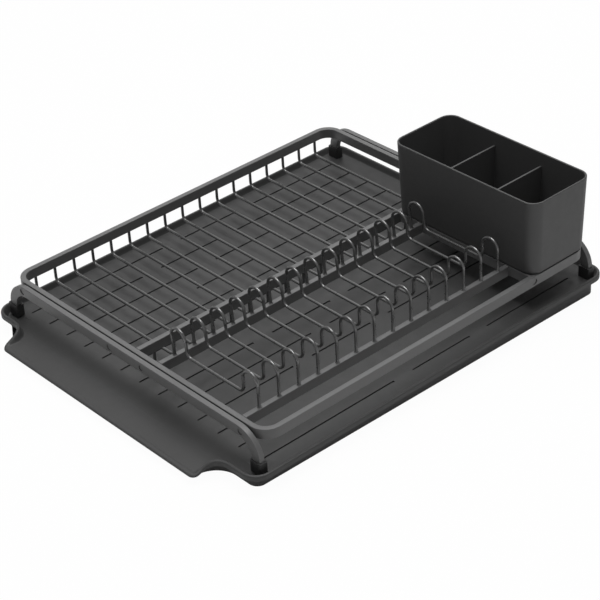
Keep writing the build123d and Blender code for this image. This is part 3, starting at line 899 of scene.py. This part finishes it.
@dataclass
class Holder:
    """The cutlery holder: a flared cup with two dividers, on a plug that drops between the bars.

    Attributes: every size is in millimetres, and the cup's foot lies on the bars at Z = 0.
    """

    shop: Shop
    rack: Rack
    tall: float = 85.95
    flare: float = 2.5
    corner: float = 14.0
    wall: float = 2.2
    overhang: float = 0.25
    rest: float = 3.2
    rear_rest: float = 4.5
    corner_flats: int = 12
    foot_round: float = 3.2
    rim_round: float = 1.0
    round_flats: int = 4
    plug_deep: float = 9.0
    plug_gap: float = 0.75
    plug_floor: float = 2.2
    divider: float = 2.0
    divider_drop: float = 15.0
    drain: float = 5.0
    drain_sides: int = 24
    drain_pitch: float = 14.0
    drain_rows: int = 3
    drain_columns: int = 4

    def build(self) -> None:
        """Model the holder as one moulding."""
        cup = self.shell()
        cup.work_in(self.plug(0, -self.plug_deep, self.wall / 2), Join.FUSE)
        cup.work_in(self.plug(self.wall, self.plug_floor - self.plug_deep, 2 * self.wall), Join.CUT)
        cup.work_in(self.dividers(), Join.FUSE)
        cup.work_in(self.plug_dividers(), Join.FUSE)
        cup.work_in(self.drains(), Join.CUT)
        self.shop.deliver(cup, HOLDER_PLASTIC, "holder_plastic", "holder", "cutlery_holder")

    def plan(self, name: str, x0: float, x1: float, y0: float, y1: float, z: float,
             corner: float) -> Workpiece:
        """Return a flat outline with round corners, all picked.

        Args:
            name: the piece's name.
            x0: its left edge.
            x1: its right edge.
            y0: its front edge.
            y1: its back edge.
            z: its height.
            corner: the corners' radius.

        Returns:
            The outline as one face.
        """
        flat = Workpiece(name)
        flat.add(Primitive.PLANE, (x1 - x0, y1 - y0, 1), ((x0 + x1) / 2, (y0 + y1) / 2, z))
        flat.pick_all(Kind.VERT)
        flat.round_corners(corner, self.corner_flats)
        flat.pick_all()
        return flat

    def shell(self) -> Workpiece:
        """Draw the open cup up from its plan, with a rounded foot and rim.

        Returns:
            The cup.
        """
        rack = self.rack
        half = rack.bar / 2
        x0 = rack.cross_x - half - self.overhang
        x1 = rack.in_x + self.rest
        y0, y1 = self.ends()
        cup = self.plan("moulded_cutlery_holder", x0, x1, y0, y1, 0, self.corner)
        cup.extrude((0, 0, self.tall))
        wide = ((x1 - x0 + 2 * self.flare) / (x1 - x0), (y1 - y0 + 2 * self.flare) / (y1 - y0), 1)
        cup.scale(wide, ((x0 + x1) / 2, (y0 + y1) / 2, self.tall))
        cup.delete(Kind.FACE)
        cup.pick(Kind.EDGE, lambda p: p.z < NEAR)
        cup.round_edges(self.foot_round, self.round_flats)
        cup.face_out()
        cup.modify("SOLIDIFY", thickness=self.wall, offset=-1, use_even_offset=True)
        cup.open()
        cup.pick(Kind.FACE, lambda p: p.z > self.tall - self.rim_round / 2)
        bpy.ops.mesh.region_to_loop()
        cup.round_edges(self.rim_round, self.round_flats)
        return cup

    def plug(self, inset: float, low: float, high: float) -> Workpiece:
        """Fill the bay between the bars with a block, less the gap and an inset.

        Args:
            inset: how far it lies inside the plug's skin.
            low: its bottom.
            high: its top.

        Returns:
            The block.
        """
        rack = self.rack
        gap = self.plug_gap + inset
        half = rack.bar / 2
        block = self.plan("plug_block", rack.cross_x + half + gap, rack.in_x - gap, -rack.in_y + gap,
                          rack.rear_y - half - gap, low, rack.corner - rack.bar - gap)
        block.extrude((0, 0, high - low))
        block.face_out()
        return block

    def ends(self) -> tuple[float, float]:
        """Return the Y of the cup's foot at the front and at the back."""
        return -self.rack.width / 2, self.rack.rear_y - self.rack.bar / 2 + self.rear_rest

    def thirds(self) -> list[float]:
        """Work out where the compartments end.

        Returns:
            The Y of each end, from front to back.
        """
        front, back = self.ends()
        third = (back - front + 2 * (self.flare - self.wall)) / 3
        first = front - self.flare + self.wall + third
        low = -self.rack.in_y + self.plug_gap + self.wall
        high = self.rack.rear_y - self.rack.bar / 2 - self.plug_gap - self.wall
        return [low, first, first + third, high]

    def dividers(self) -> Workpiece:
        """Place the two dividers in the cup, where they run into its walls.

        Returns:
            The dividers as one piece.
        """
        rack = self.rack
        low = self.wall / 2
        top = self.tall - self.divider_drop
        inset = self.wall / 2 - self.flare * low / self.tall
        left = rack.cross_x - rack.bar / 2 - self.overhang + inset
        right = rack.in_x + self.rest - inset
        return self.sheets(left, right, low, top, 2 * self.flare * (top - low) / self.tall)

    def plug_dividers(self) -> Workpiece:
        """Place the dividers' lower parts, which run into the plug's walls and floor.

        Returns:
            The lower parts as one piece.
        """
        rack = self.rack
        inset = self.plug_gap + self.wall / 2
        low = self.plug_floor / 2 - self.plug_deep
        return self.sheets(rack.cross_x + rack.bar / 2 + inset, rack.in_x - inset, low, self.wall, 0)

    def sheets(self, left: float, right: float, low: float, top: float, grow: float) -> Workpiece:
        """Stand two upright sheets between the compartments.

        Args:
            left: their left edge at the bottom.
            right: their right edge at the bottom.
            low: their bottom.
            top: their top.
            grow: how much wider they are at the top.

        Returns:
            The sheets as one piece.
        """
        reach = right - left
        middle = (left + right) / 2
        sheets = Workpiece("dividers")
        for y in self.thirds()[1:3]:
            sheets.add(Primitive.CUBE, (reach, self.divider, top - low), (middle, y, (low + top) / 2))
        sheets.pick(Kind.FACE, lambda p: p.z > top - NEAR)
        sheets.scale(((reach + grow) / reach, 1, 1), (middle, 0, top))
        return sheets

    def drains(self) -> Workpiece:
        """Set out the drain holes in the plug's floor.

        Returns:
            The cutters as one piece.
        """
        holes = Workpiece("drain_cutters")
        middle = self.rack.in_x - self.rack.bay / 2
        size = (self.drain, self.drain, 4 * self.plug_floor)
        ys = self.thirds()
        for front, back in zip(ys, ys[1:]):
            for column in range(self.drain_columns):
                for row in range(self.drain_rows):
                    x = middle + (column - (self.drain_columns - 1) / 2) * self.drain_pitch
                    y = (front + back) / 2 + (row - (self.drain_rows - 1) / 2) * self.drain_pitch
                    holes.add(Primitive.CYLINDER, size, (x, y, -self.plug_deep), self.drain_sides)
        return holes


@dataclass
class Tray:
    """The drip tray: a shallow dish with a soft lip and a spout, on a hollow wedge with four pads.

    Attributes: every size is in millimetres in the deck frame.
    """

    shop: Shop
    left: float = -248.75
    right: float = 245.25
    half_wide: float = 208.5
    corner: float = 19.0
    corner_flats: int = 12
    wall: float = 2.5
    lip: float = 6.5
    lip_round: float = 1.8
    lip_flats: int = 4
    crown: float = 0.7
    flank: float = 4.0
    flank_flats: int = 8
    band: float = 5.5
    throat: float = 7.0
    setback: float = 8.5
    skirt_levels: int = 4
    foot_round: float = 0.8
    reach: float = 28.0
    spout_edge: float = 2.0
    front_y: float = -152.5
    front_notch: float = 18.0
    front_notch_flats: int = 14
    front_tip: float = 7.0
    back_y: float = 158.0
    back_notch: float = 13.0
    back_notch_flats: int = 12
    back_tip: float = 9.0
    tip_flats: int = 8
    floor: float = -42.5
    step_drop: float = 3.5
    step_start: float = 32.75
    step_long: float = 28.0
    step_cuts: int = 20
    pad: float = 16.0
    pad_sides: int = 40
    pad_edge: float = 0.4
    pad_tall: float = 2.0
    pad_inset: float = 30.0
    boss_wall: float = 1.5
    groove_pitch: float = 30.2
    groove_wide: float = 2.4
    groove_deep: float = 1.5
    groove_rows: int = 13
    groove_from_left: float = 29.75
    groove_from_right: float = 31.25
    groove_end: float = 124.0
    groove_middle: float = 81.0
    groove_space: float = 26.0

    @property
    def spout_x(self) -> float:
        """Return the X of the spout's edge."""
        return self.left - self.reach

    @property
    def step_x(self) -> float:
        """Return where the floor starts to fall to the spout."""
        return self.left + self.step_start

    def floor_at(self, x: float) -> float:
        """Return the floor's height: level, then a soft step down to the spout's apron."""
        share = min(max((self.step_x - x) / self.step_long, 0), 1)
        return self.floor - self.step_drop * share * share * (3 - 2 * share)

    def out_on_spout(self, x: float) -> float:
        """Return how far out on the spout an X lies: 0 at its root, 1 at its edge, soft at both."""
        share = min(max((self.left - x) / self.reach, 0), 1)
        return share * share * (3 - 2 * share)

    def lip_at(self, x: float) -> float:
        """Return the lip's height: level, then a soft fall to the spout's edge."""
        return self.floor + self.lip - (self.lip + self.step_drop) * self.out_on_spout(x)

    def band_at(self, x: float) -> float:
        """Work out the height of the lip's lower edge.

        Args:
            x: where along the tray.

        Returns:
            The height.
        """
        low = self.floor - self.step_drop - self.spout_edge
        high = self.floor + self.lip - self.band
        return high + (low - high) * self.out_on_spout(x)

    def build(self) -> None:
        """Model the tray and its pads."""
        tray = self.dish()
        self.skirt(tray)
        self.hollow(tray)
        tray.work_in(self.bosses(), Join.FUSE)
        tray.work_in(self.grooves(), Join.CUT)
        self.shop.deliver(tray, TRAY_PLASTIC, "tray_plastic", "tray", "drip_tray")
        self.pads()

    def corners(self) -> list[tuple[float, float, float, int]]:
        """List the corners of the plan.

        Returns:
            The X, the Y, the radius and the flats of every corner.
        """
        plate = [(x, y, self.corner, self.corner_flats)
                 for x in (self.left, self.right) for y in (-self.half_wide, self.half_wide)]
        return plate + [
            (self.left, self.front_y, self.front_notch, self.front_notch_flats),
            (self.left, self.back_y, self.back_notch, self.back_notch_flats),
            (self.spout_x, self.front_y, self.front_tip, self.tip_flats),
            (self.spout_x, self.back_y, self.back_tip, self.tip_flats),
        ]

    def outline(self) -> Workpiece:
        """Draw the tray's plan with its notched spout.

        Returns:
            The plan as one flat face.
        """
        plan = Workpiece("moulded_drip_tray")
        middle = (self.left + self.right) / 2
        plan.add(Primitive.PLANE, (self.right - self.left, 2 * self.half_wide, 1),
                 (middle, 0, self.lip + self.lip_round))
        for y in (self.front_y, self.back_y):
            plan.pick_all()
            plan.bisect((0, y, 0), (0, 1, 0))
        plan.pick(Kind.EDGE, lambda p: p.x < self.left + NEAR and self.front_y < p.y < self.back_y)
        plan.extrude((-self.reach, 0, 0))
        plan.pick_all()
        bpy.ops.mesh.dissolve_limited(angle_limit=radians(FLAT_ANGLE))
        for x, y, radius, flats in self.corners():
            plan.pick(Kind.VERT, lambda p, x=x, y=y: abs(p.x - x) < NEAR and abs(p.y - y) < NEAR)
            plan.round_corners(radius, flats)
        return plan

    def profile(self) -> list[tuple[float, float]]:
        """Work out the lip's section: its round edge, its crown and its flank.

        Returns:
            The steps inwards and up, from the outside.
        """
        angles = [pi / 2 * turn / self.lip_flats for turn in range(self.lip_flats + 1)]
        steps = [(self.lip_round * (cos(a) - cos(b)), self.lip_round * (sin(a) - sin(b)))
                 for a, b in zip(angles, angles[1:])]
        steps.append((self.crown, 0.0))
        falls = self.flank_flats
        waves = [(1 + cos(pi * fall / falls)) / 2 * self.lip for fall in range(falls + 1)]
        return steps + [(self.flank / falls, low - high) for high, low in zip(waves, waves[1:])]

    def dish(self) -> Workpiece:
        """Shape the dish: a round lip, a soft flank and a floor that steps down to the spout.

        Returns:
            The dish, open below.
        """
        dish = self.outline()
        dish.pick_all()
        for width, rise in self.profile():
            dish.inset(width, rise)
        for cut in range(1, self.step_cuts + 1):
            dish.pick_all()
            x = self.spout_x + (self.step_x - self.spout_x) * cut / self.step_cuts
            dish.bisect((x, 0, 0), (1, 0, 0))
        dish.merge(SAME_CORNER)
        dish.reshape(self.rest_on_floor)
        return dish

    def rest_on_floor(self, point: Vector) -> Vector:
        """Work out where a point of the level dish goes.

        Over the lip's height it hangs below the real lip; under it, it lies between floor and lip.

        Args:
            point: the point of the level dish.

        Returns:
            The point of the real dish.
        """
        lip = self.lip_at(point.x)
        if point.z > self.lip:
            return Vector((point.x, point.y, lip - (point.z - self.lip)))
        floor = self.floor_at(point.x)
        return Vector((point.x, point.y, floor + (lip - floor) * point.z / self.lip))

    def skirt(self, tray: Workpiece) -> None:
        """Turn the lip down, set the skirt back under it, and close the skirt's level foot.

        Args:
            tray: the dish.
        """
        mesh = bmesh.from_edit_mesh(tray.obj.data)
        inward: dict[tuple, Vector] = {}
        for edge in [edge for edge in mesh.edges if edge.is_boundary]:
            first, last = [vertex.co.xy for vertex in edge.verts]
            across = (last - first).normalized().orthogonal()
            inside = edge.link_faces[0].calc_center_median().xy - (first + last) / 2
            for end in (first, last):
                key = end.to_tuple(PLAN_DIGITS)
                way = across if across.dot(inside) > 0 else -across
                inward[key] = inward.get(key, Vector((0, 0))) + way
        starts = {key: (Vector(key), way.normalized()) for key, way in inward.items()}
        bpy.ops.mesh.select_mode(type="EDGE")
        bpy.ops.mesh.select_all(action="DESELECT")
        bpy.ops.mesh.select_non_manifold()
        for level in range(self.skirt_levels):
            tray.extrude((0, 0, 0))
            mesh = bmesh.from_edit_mesh(tray.obj.data)
            moved = {}
            for vertex in [vertex for vertex in mesh.verts if vertex.select]:
                start, way = starts[vertex.co.xy.to_tuple(PLAN_DIGITS)]
                vertex.co = self.skirt_point(start, way, level)
                moved[vertex.co.xy.to_tuple(PLAN_DIGITS)] = (start, way)
            starts = moved
            bmesh.update_edit_mesh(tray.obj.data)
        tray.fill()
        tray.merge(SAME_CORNER)
        tray.face_out()

    def skirt_point(self, start: Vector, way: Vector, level: int) -> Vector:
        """Work out a point of the skirt.

        Args:
            start: the lip's outer edge in plan.
            way: the way inwards from it.
            level: 0 for the lip's lower edge, 1 under the lip, 2 over the foot's round, 3 for the foot.

        Returns:
            The point.
        """
        inset = [0, self.setback, self.setback, self.setback + self.foot_round][level]
        x, y = start + way * inset
        if start.x < self.spout_x + self.back_tip:
            x = max(x, self.spout_x + inset)
            y = min(max(y, self.front_y + inset), self.back_y - inset)
        foot = -self.shop.deck.drop_to(Vector((x, y, 0)), self.pad_tall)
        under = self.floor + self.lip - self.band - self.throat
        return Vector((x, y, [self.band_at(start.x), under, foot + self.foot_round, foot][level]))

    def hollow(self, tray: Workpiece) -> None:
        """Hollow the wedge from below, up to the floor's thickness.

        Args:
            tray: the closed wedge.
        """
        deck = self.shop.deck

        def at_foot(point: Vector) -> bool:
            """Return whether a point lies in the skirt's level foot."""
            return abs(deck.drop_to(point, self.pad_tall)) < NEAR

        tray.pick(Kind.FACE, at_foot)
        tray.bisect((self.step_x, 0, 0), (1, 0, 0))
        tray.pick(Kind.FACE, lambda p: at_foot(p) and p.x > self.step_x)
        tray.inset(self.wall - self.foot_round)
        tray.extrude((0, 0, 0))
        tray.reshape(lambda p: Vector((p.x, p.y, self.floor - self.wall)), picked_only=True)

    def pad_spots(self) -> list[Vector]:
        """Work out where the pads go.

        Returns:
            The deck points over the pads' middles.
        """
        y = self.half_wide - self.pad_inset
        xs = (self.left + self.pad_inset, self.right - self.pad_inset)
        return [Vector((x, side * y, self.floor)) for x in xs for side in (-1, 1)]

    def upright(self, piece: Workpiece, wide: float, low: float, high: float | None) -> None:
        """Add an upright disc at each pad's place, square to the counter.

        Args:
            piece: the piece they are added to.
            wide: the discs' diameter.
            low: their bottom over the counter.
            high: their top over the counter; None for half a wall under the floor.
        """
        back = self.shop.deck.placing().inverted()
        for spot in self.pad_spots():
            over = self.shop.deck.placing() @ spot
            top = over.z / MM - self.wall / 2 if high is None else high
            piece.add(Primitive.CYLINDER, (wide, wide, top - low), (0, 0, 0), self.pad_sides)
            middle = Vector((over.x, over.y, (top + low) / 2 * MM))
            turn = back.to_3x3().normalized()
            place = back @ middle
            piece.reshape(lambda p, t=turn, m=place: t @ p + m, picked_only=True)

    def bosses(self) -> Workpiece:
        """Stand a boss over each pad.

        Returns:
            The bosses as one piece.
        """
        bosses = Workpiece("pad_bosses")
        self.upright(bosses, self.pad + 2 * self.boss_wall, self.pad_tall, None)
        return bosses

    def pads(self) -> None:
        """Model the four pads under the bosses."""
        pads = Workpiece("rubber_tray_pads")
        self.upright(pads, self.pad, 0, self.pad_tall)
        pads.soften(self.pad_edge)
        self.shop.deliver(pads, PAD_RUBBER, "pad_rubber", "tray", "tray_pads")

    def grooves(self) -> Workpiece:
        """Set out the drain grooves: rows of three dashes, turned round in every other row.

        Returns:
            The cutters as one piece.
        """
        cutters = Workpiece("groove_cutters")
        start = self.left + self.groove_from_left
        stop = self.right - self.groove_from_right
        long_dash = stop - start - self.groove_end - self.groove_middle - 2 * self.groove_space
        for row in range(self.groove_rows):
            dashes = [long_dash, self.groove_middle, self.groove_end]
            if row % 2:
                dashes.reverse()
            y = (row - (self.groove_rows - 1) / 2) * self.groove_pitch
            left = start
            for dash in dashes:
                cutters.add(Primitive.CUBE, (dash, self.groove_wide, 2 * self.groove_deep),
                            (left + dash / 2, y, self.floor))
                left += dash + self.groove_space
        return cutters


@dataclass(frozen=True)
class Softbox:
    """A square area light that is aimed at the rack.

    Attributes:
        name: the lamp's name.
        place: where it hangs, in metres.
        side: its width in metres.
        watts: its power.
    """

    name: str
    place: tuple[float, float, float]
    side: float
    watts: float

    def hang(self) -> None:
        """Add the lamp to the scene."""
        light = bpy.data.lights.new(self.name, "AREA")
        light.shape = "SQUARE"
        light.size = self.side
        light.energy = self.watts
        lamp = bpy.data.objects.new(self.name, light)
        place = Vector(self.place)
        lamp.matrix_world = Matrix.Translation(place) @ place.to_track_quat("Z", "Y").to_matrix().to_4x4()
        bpy.context.scene.collection.objects.link(lamp)


@dataclass(frozen=True)
class Studio:
    """The pale floor, the soft light and the camera.

    Attributes:
        deck: where the deck frame lies.
        azimuth: the camera's bearing round the deck, in degrees.
        elevation: its height over the deck's plane, in degrees.
        roll: its turn about the line of sight, in degrees.
        sight: the deck origin's place right of, below and ahead of the camera, in millimetres.
        focal_px: the focal length in pixels of the square image.
        sensor: the sensor's width in millimetres.
        far: how far the camera sees, in metres.
        floor_side: the floor's width in metres.
        floor_paint: the floor's own colour.
        floor_white: how much of the floor shows as plain white to the camera.
        softboxes: the lamps.
        sky_low: the room's strength at the horizon and below it.
        sky_high: its strength straight overhead.
        mirrored_sky: its strength in reflections.
        mirrored_floor: how much of the floor is plain white in reflections.
    """

    deck: Deck
    azimuth: float = -40.481
    elevation: float = 33.162
    roll: float = -3.423
    sight: tuple[float, float, float] = (0.16, -41.37, 2030.31)
    focal_px: float = 1949.6
    sensor: float = 36.0
    far: float = 50.0
    floor_side: float = 8.0
    floor_paint: str = "#e2e2e2"
    floor_white: float = 0.97
    softboxes: tuple[Softbox, ...] = (
        Softbox("overhead", (0.15, 0.05, 2.2), 1.5, 42.0),
        Softbox("back_sheen", (1.25, 1.45, 1.5), 1.6, 7.5),
    )
    sky_low: float = 0.0
    sky_high: float = 0.4
    mirrored_sky: float = 0.3
    mirrored_floor: float = 0.2

    def camera(self) -> None:
        """Stand the camera where the sight line, the bearing and the roll put it."""
        bearing, height, roll = radians(self.azimuth), radians(self.elevation), radians(self.roll)
        back = Vector((sin(bearing) * cos(height), -cos(bearing) * cos(height), sin(height)))
        level = (-back).cross(Vector((0, 0, 1))).normalized()
        above = level.cross(-back)
        right = level * cos(roll) + above * sin(roll)
        up = above * cos(roll) - level * sin(roll)
        ahead_right, ahead_down, ahead = self.sight
        place = back * ahead - right * ahead_right + up * ahead_down
        lens = bpy.data.cameras.new("camera")
        lens.sensor_width = self.sensor
        lens.lens = self.focal_px / IMAGE_SIDE * self.sensor
        lens.clip_end = self.far
        camera = bpy.data.objects.new("camera", lens)
        turned = self.deck.turned() @ Matrix((right, up, back)).transposed()
        camera.matrix_world = Matrix.Translation(self.deck.placing() @ place) @ turned.to_4x4()
        bpy.context.scene.collection.objects.link(camera)
        bpy.context.scene.camera = camera

    def seen(self, tree: bpy.types.NodeTree, plain: Strength, mirrored: Strength,
             direct: float) -> bpy.types.NodeSocket:
        """Make a value that depends on how a ray gets here.

        Args:
            tree: the node tree.
            plain: the value for rays that light the object.
            mirrored: the value for rays by gloss or through glass.
            direct: the value for rays from the camera.

        Returns:
            The node output that gives the value.
        """
        path = add_node(tree, "ShaderNodeLightPath", {}, {})
        either = add_node(tree, "ShaderNodeMath", {"operation": "MAXIMUM"}, {
            0: path.outputs["Is Glossy Ray"], 1: path.outputs["Is Transmission Ray"]})
        lit = add_node(tree, "ShaderNodeMapRange", {}, {
            "Value": either.outputs[0], "To Min": plain, "To Max": mirrored})
        shown = add_node(tree, "ShaderNodeMapRange", {}, {
            "Value": path.outputs["Is Camera Ray"], "To Min": lit.outputs["Result"], "To Max": direct})
        return shown.outputs["Result"]

    def floor(self) -> None:
        """Lay the pale floor, which shows nearly white and keeps a faint shadow."""
        bpy.ops.object.select_all(action="DESELECT")
        bpy.ops.mesh.primitive_plane_add(size=self.floor_side)
        floor = bpy.context.active_object
        floor.name = "floor"
        material = bpy.data.materials.new("pale_floor")
        material.use_nodes = True
        tree = material.node_tree
        tree.nodes.clear()
        paint = add_node(tree, "ShaderNodeBsdfDiffuse", {}, {"Color": linear(self.floor_paint)})
        glow = add_node(tree, "ShaderNodeEmission", {}, {"Strength": 1.0})
        share = self.seen(tree, 0.0, self.mirrored_floor, self.floor_white)
        mix = add_node(tree, "ShaderNodeMixShader", {}, {
            0: share, 1: paint.outputs[0], 2: glow.outputs[0]})
        add_node(tree, "ShaderNodeOutputMaterial", {}, {"Surface": mix.outputs[0]})
        floor.data.materials.append(material)

    def light(self) -> None:
        """Hang the softboxes in a pale room that shows white."""
        for softbox in self.softboxes:
            softbox.hang()
        world = bpy.data.worlds.new("pale_room")
        world.use_nodes = True
        tree = world.node_tree
        tree.nodes.clear()
        heading = add_node(tree, "ShaderNodeTexCoord", {}, {}).outputs["Generated"]
        height = add_node(tree, "ShaderNodeSeparateXYZ", {}, {"Vector": heading})
        dome = add_node(tree, "ShaderNodeMapRange", {}, {
            "Value": height.outputs["Z"], "To Min": self.sky_low, "To Max": self.sky_high})
        strength = self.seen(tree, dome.outputs["Result"], self.mirrored_sky, 1.0)
        sky = add_node(tree, "ShaderNodeBackground", {}, {"Color": linear("#ffffff"), "Strength": strength})
        add_node(tree, "ShaderNodeOutputWorld", {}, {"Surface": sky.outputs[0]})
        bpy.context.scene.world = world

    def build(self) -> None:
        """Make the floor, the light and the camera."""
        self.floor()
        self.light()
        self.camera()
        bpy.context.scene.view_settings.view_transform = "Standard"


def main() -> None:
    """Model the tray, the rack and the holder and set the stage."""
    logging.basicConfig(level=logging.INFO, format="%(name)s: %(message)s")
    shop = Shop(Deck.from_frame(Rack.height), {})
    rack = Rack(shop)
    Tray(shop).build()
    rack.build()
    Holder(shop, rack).build()
    Studio(shop.deck).build()


if __name__ == "__main__":
    main()
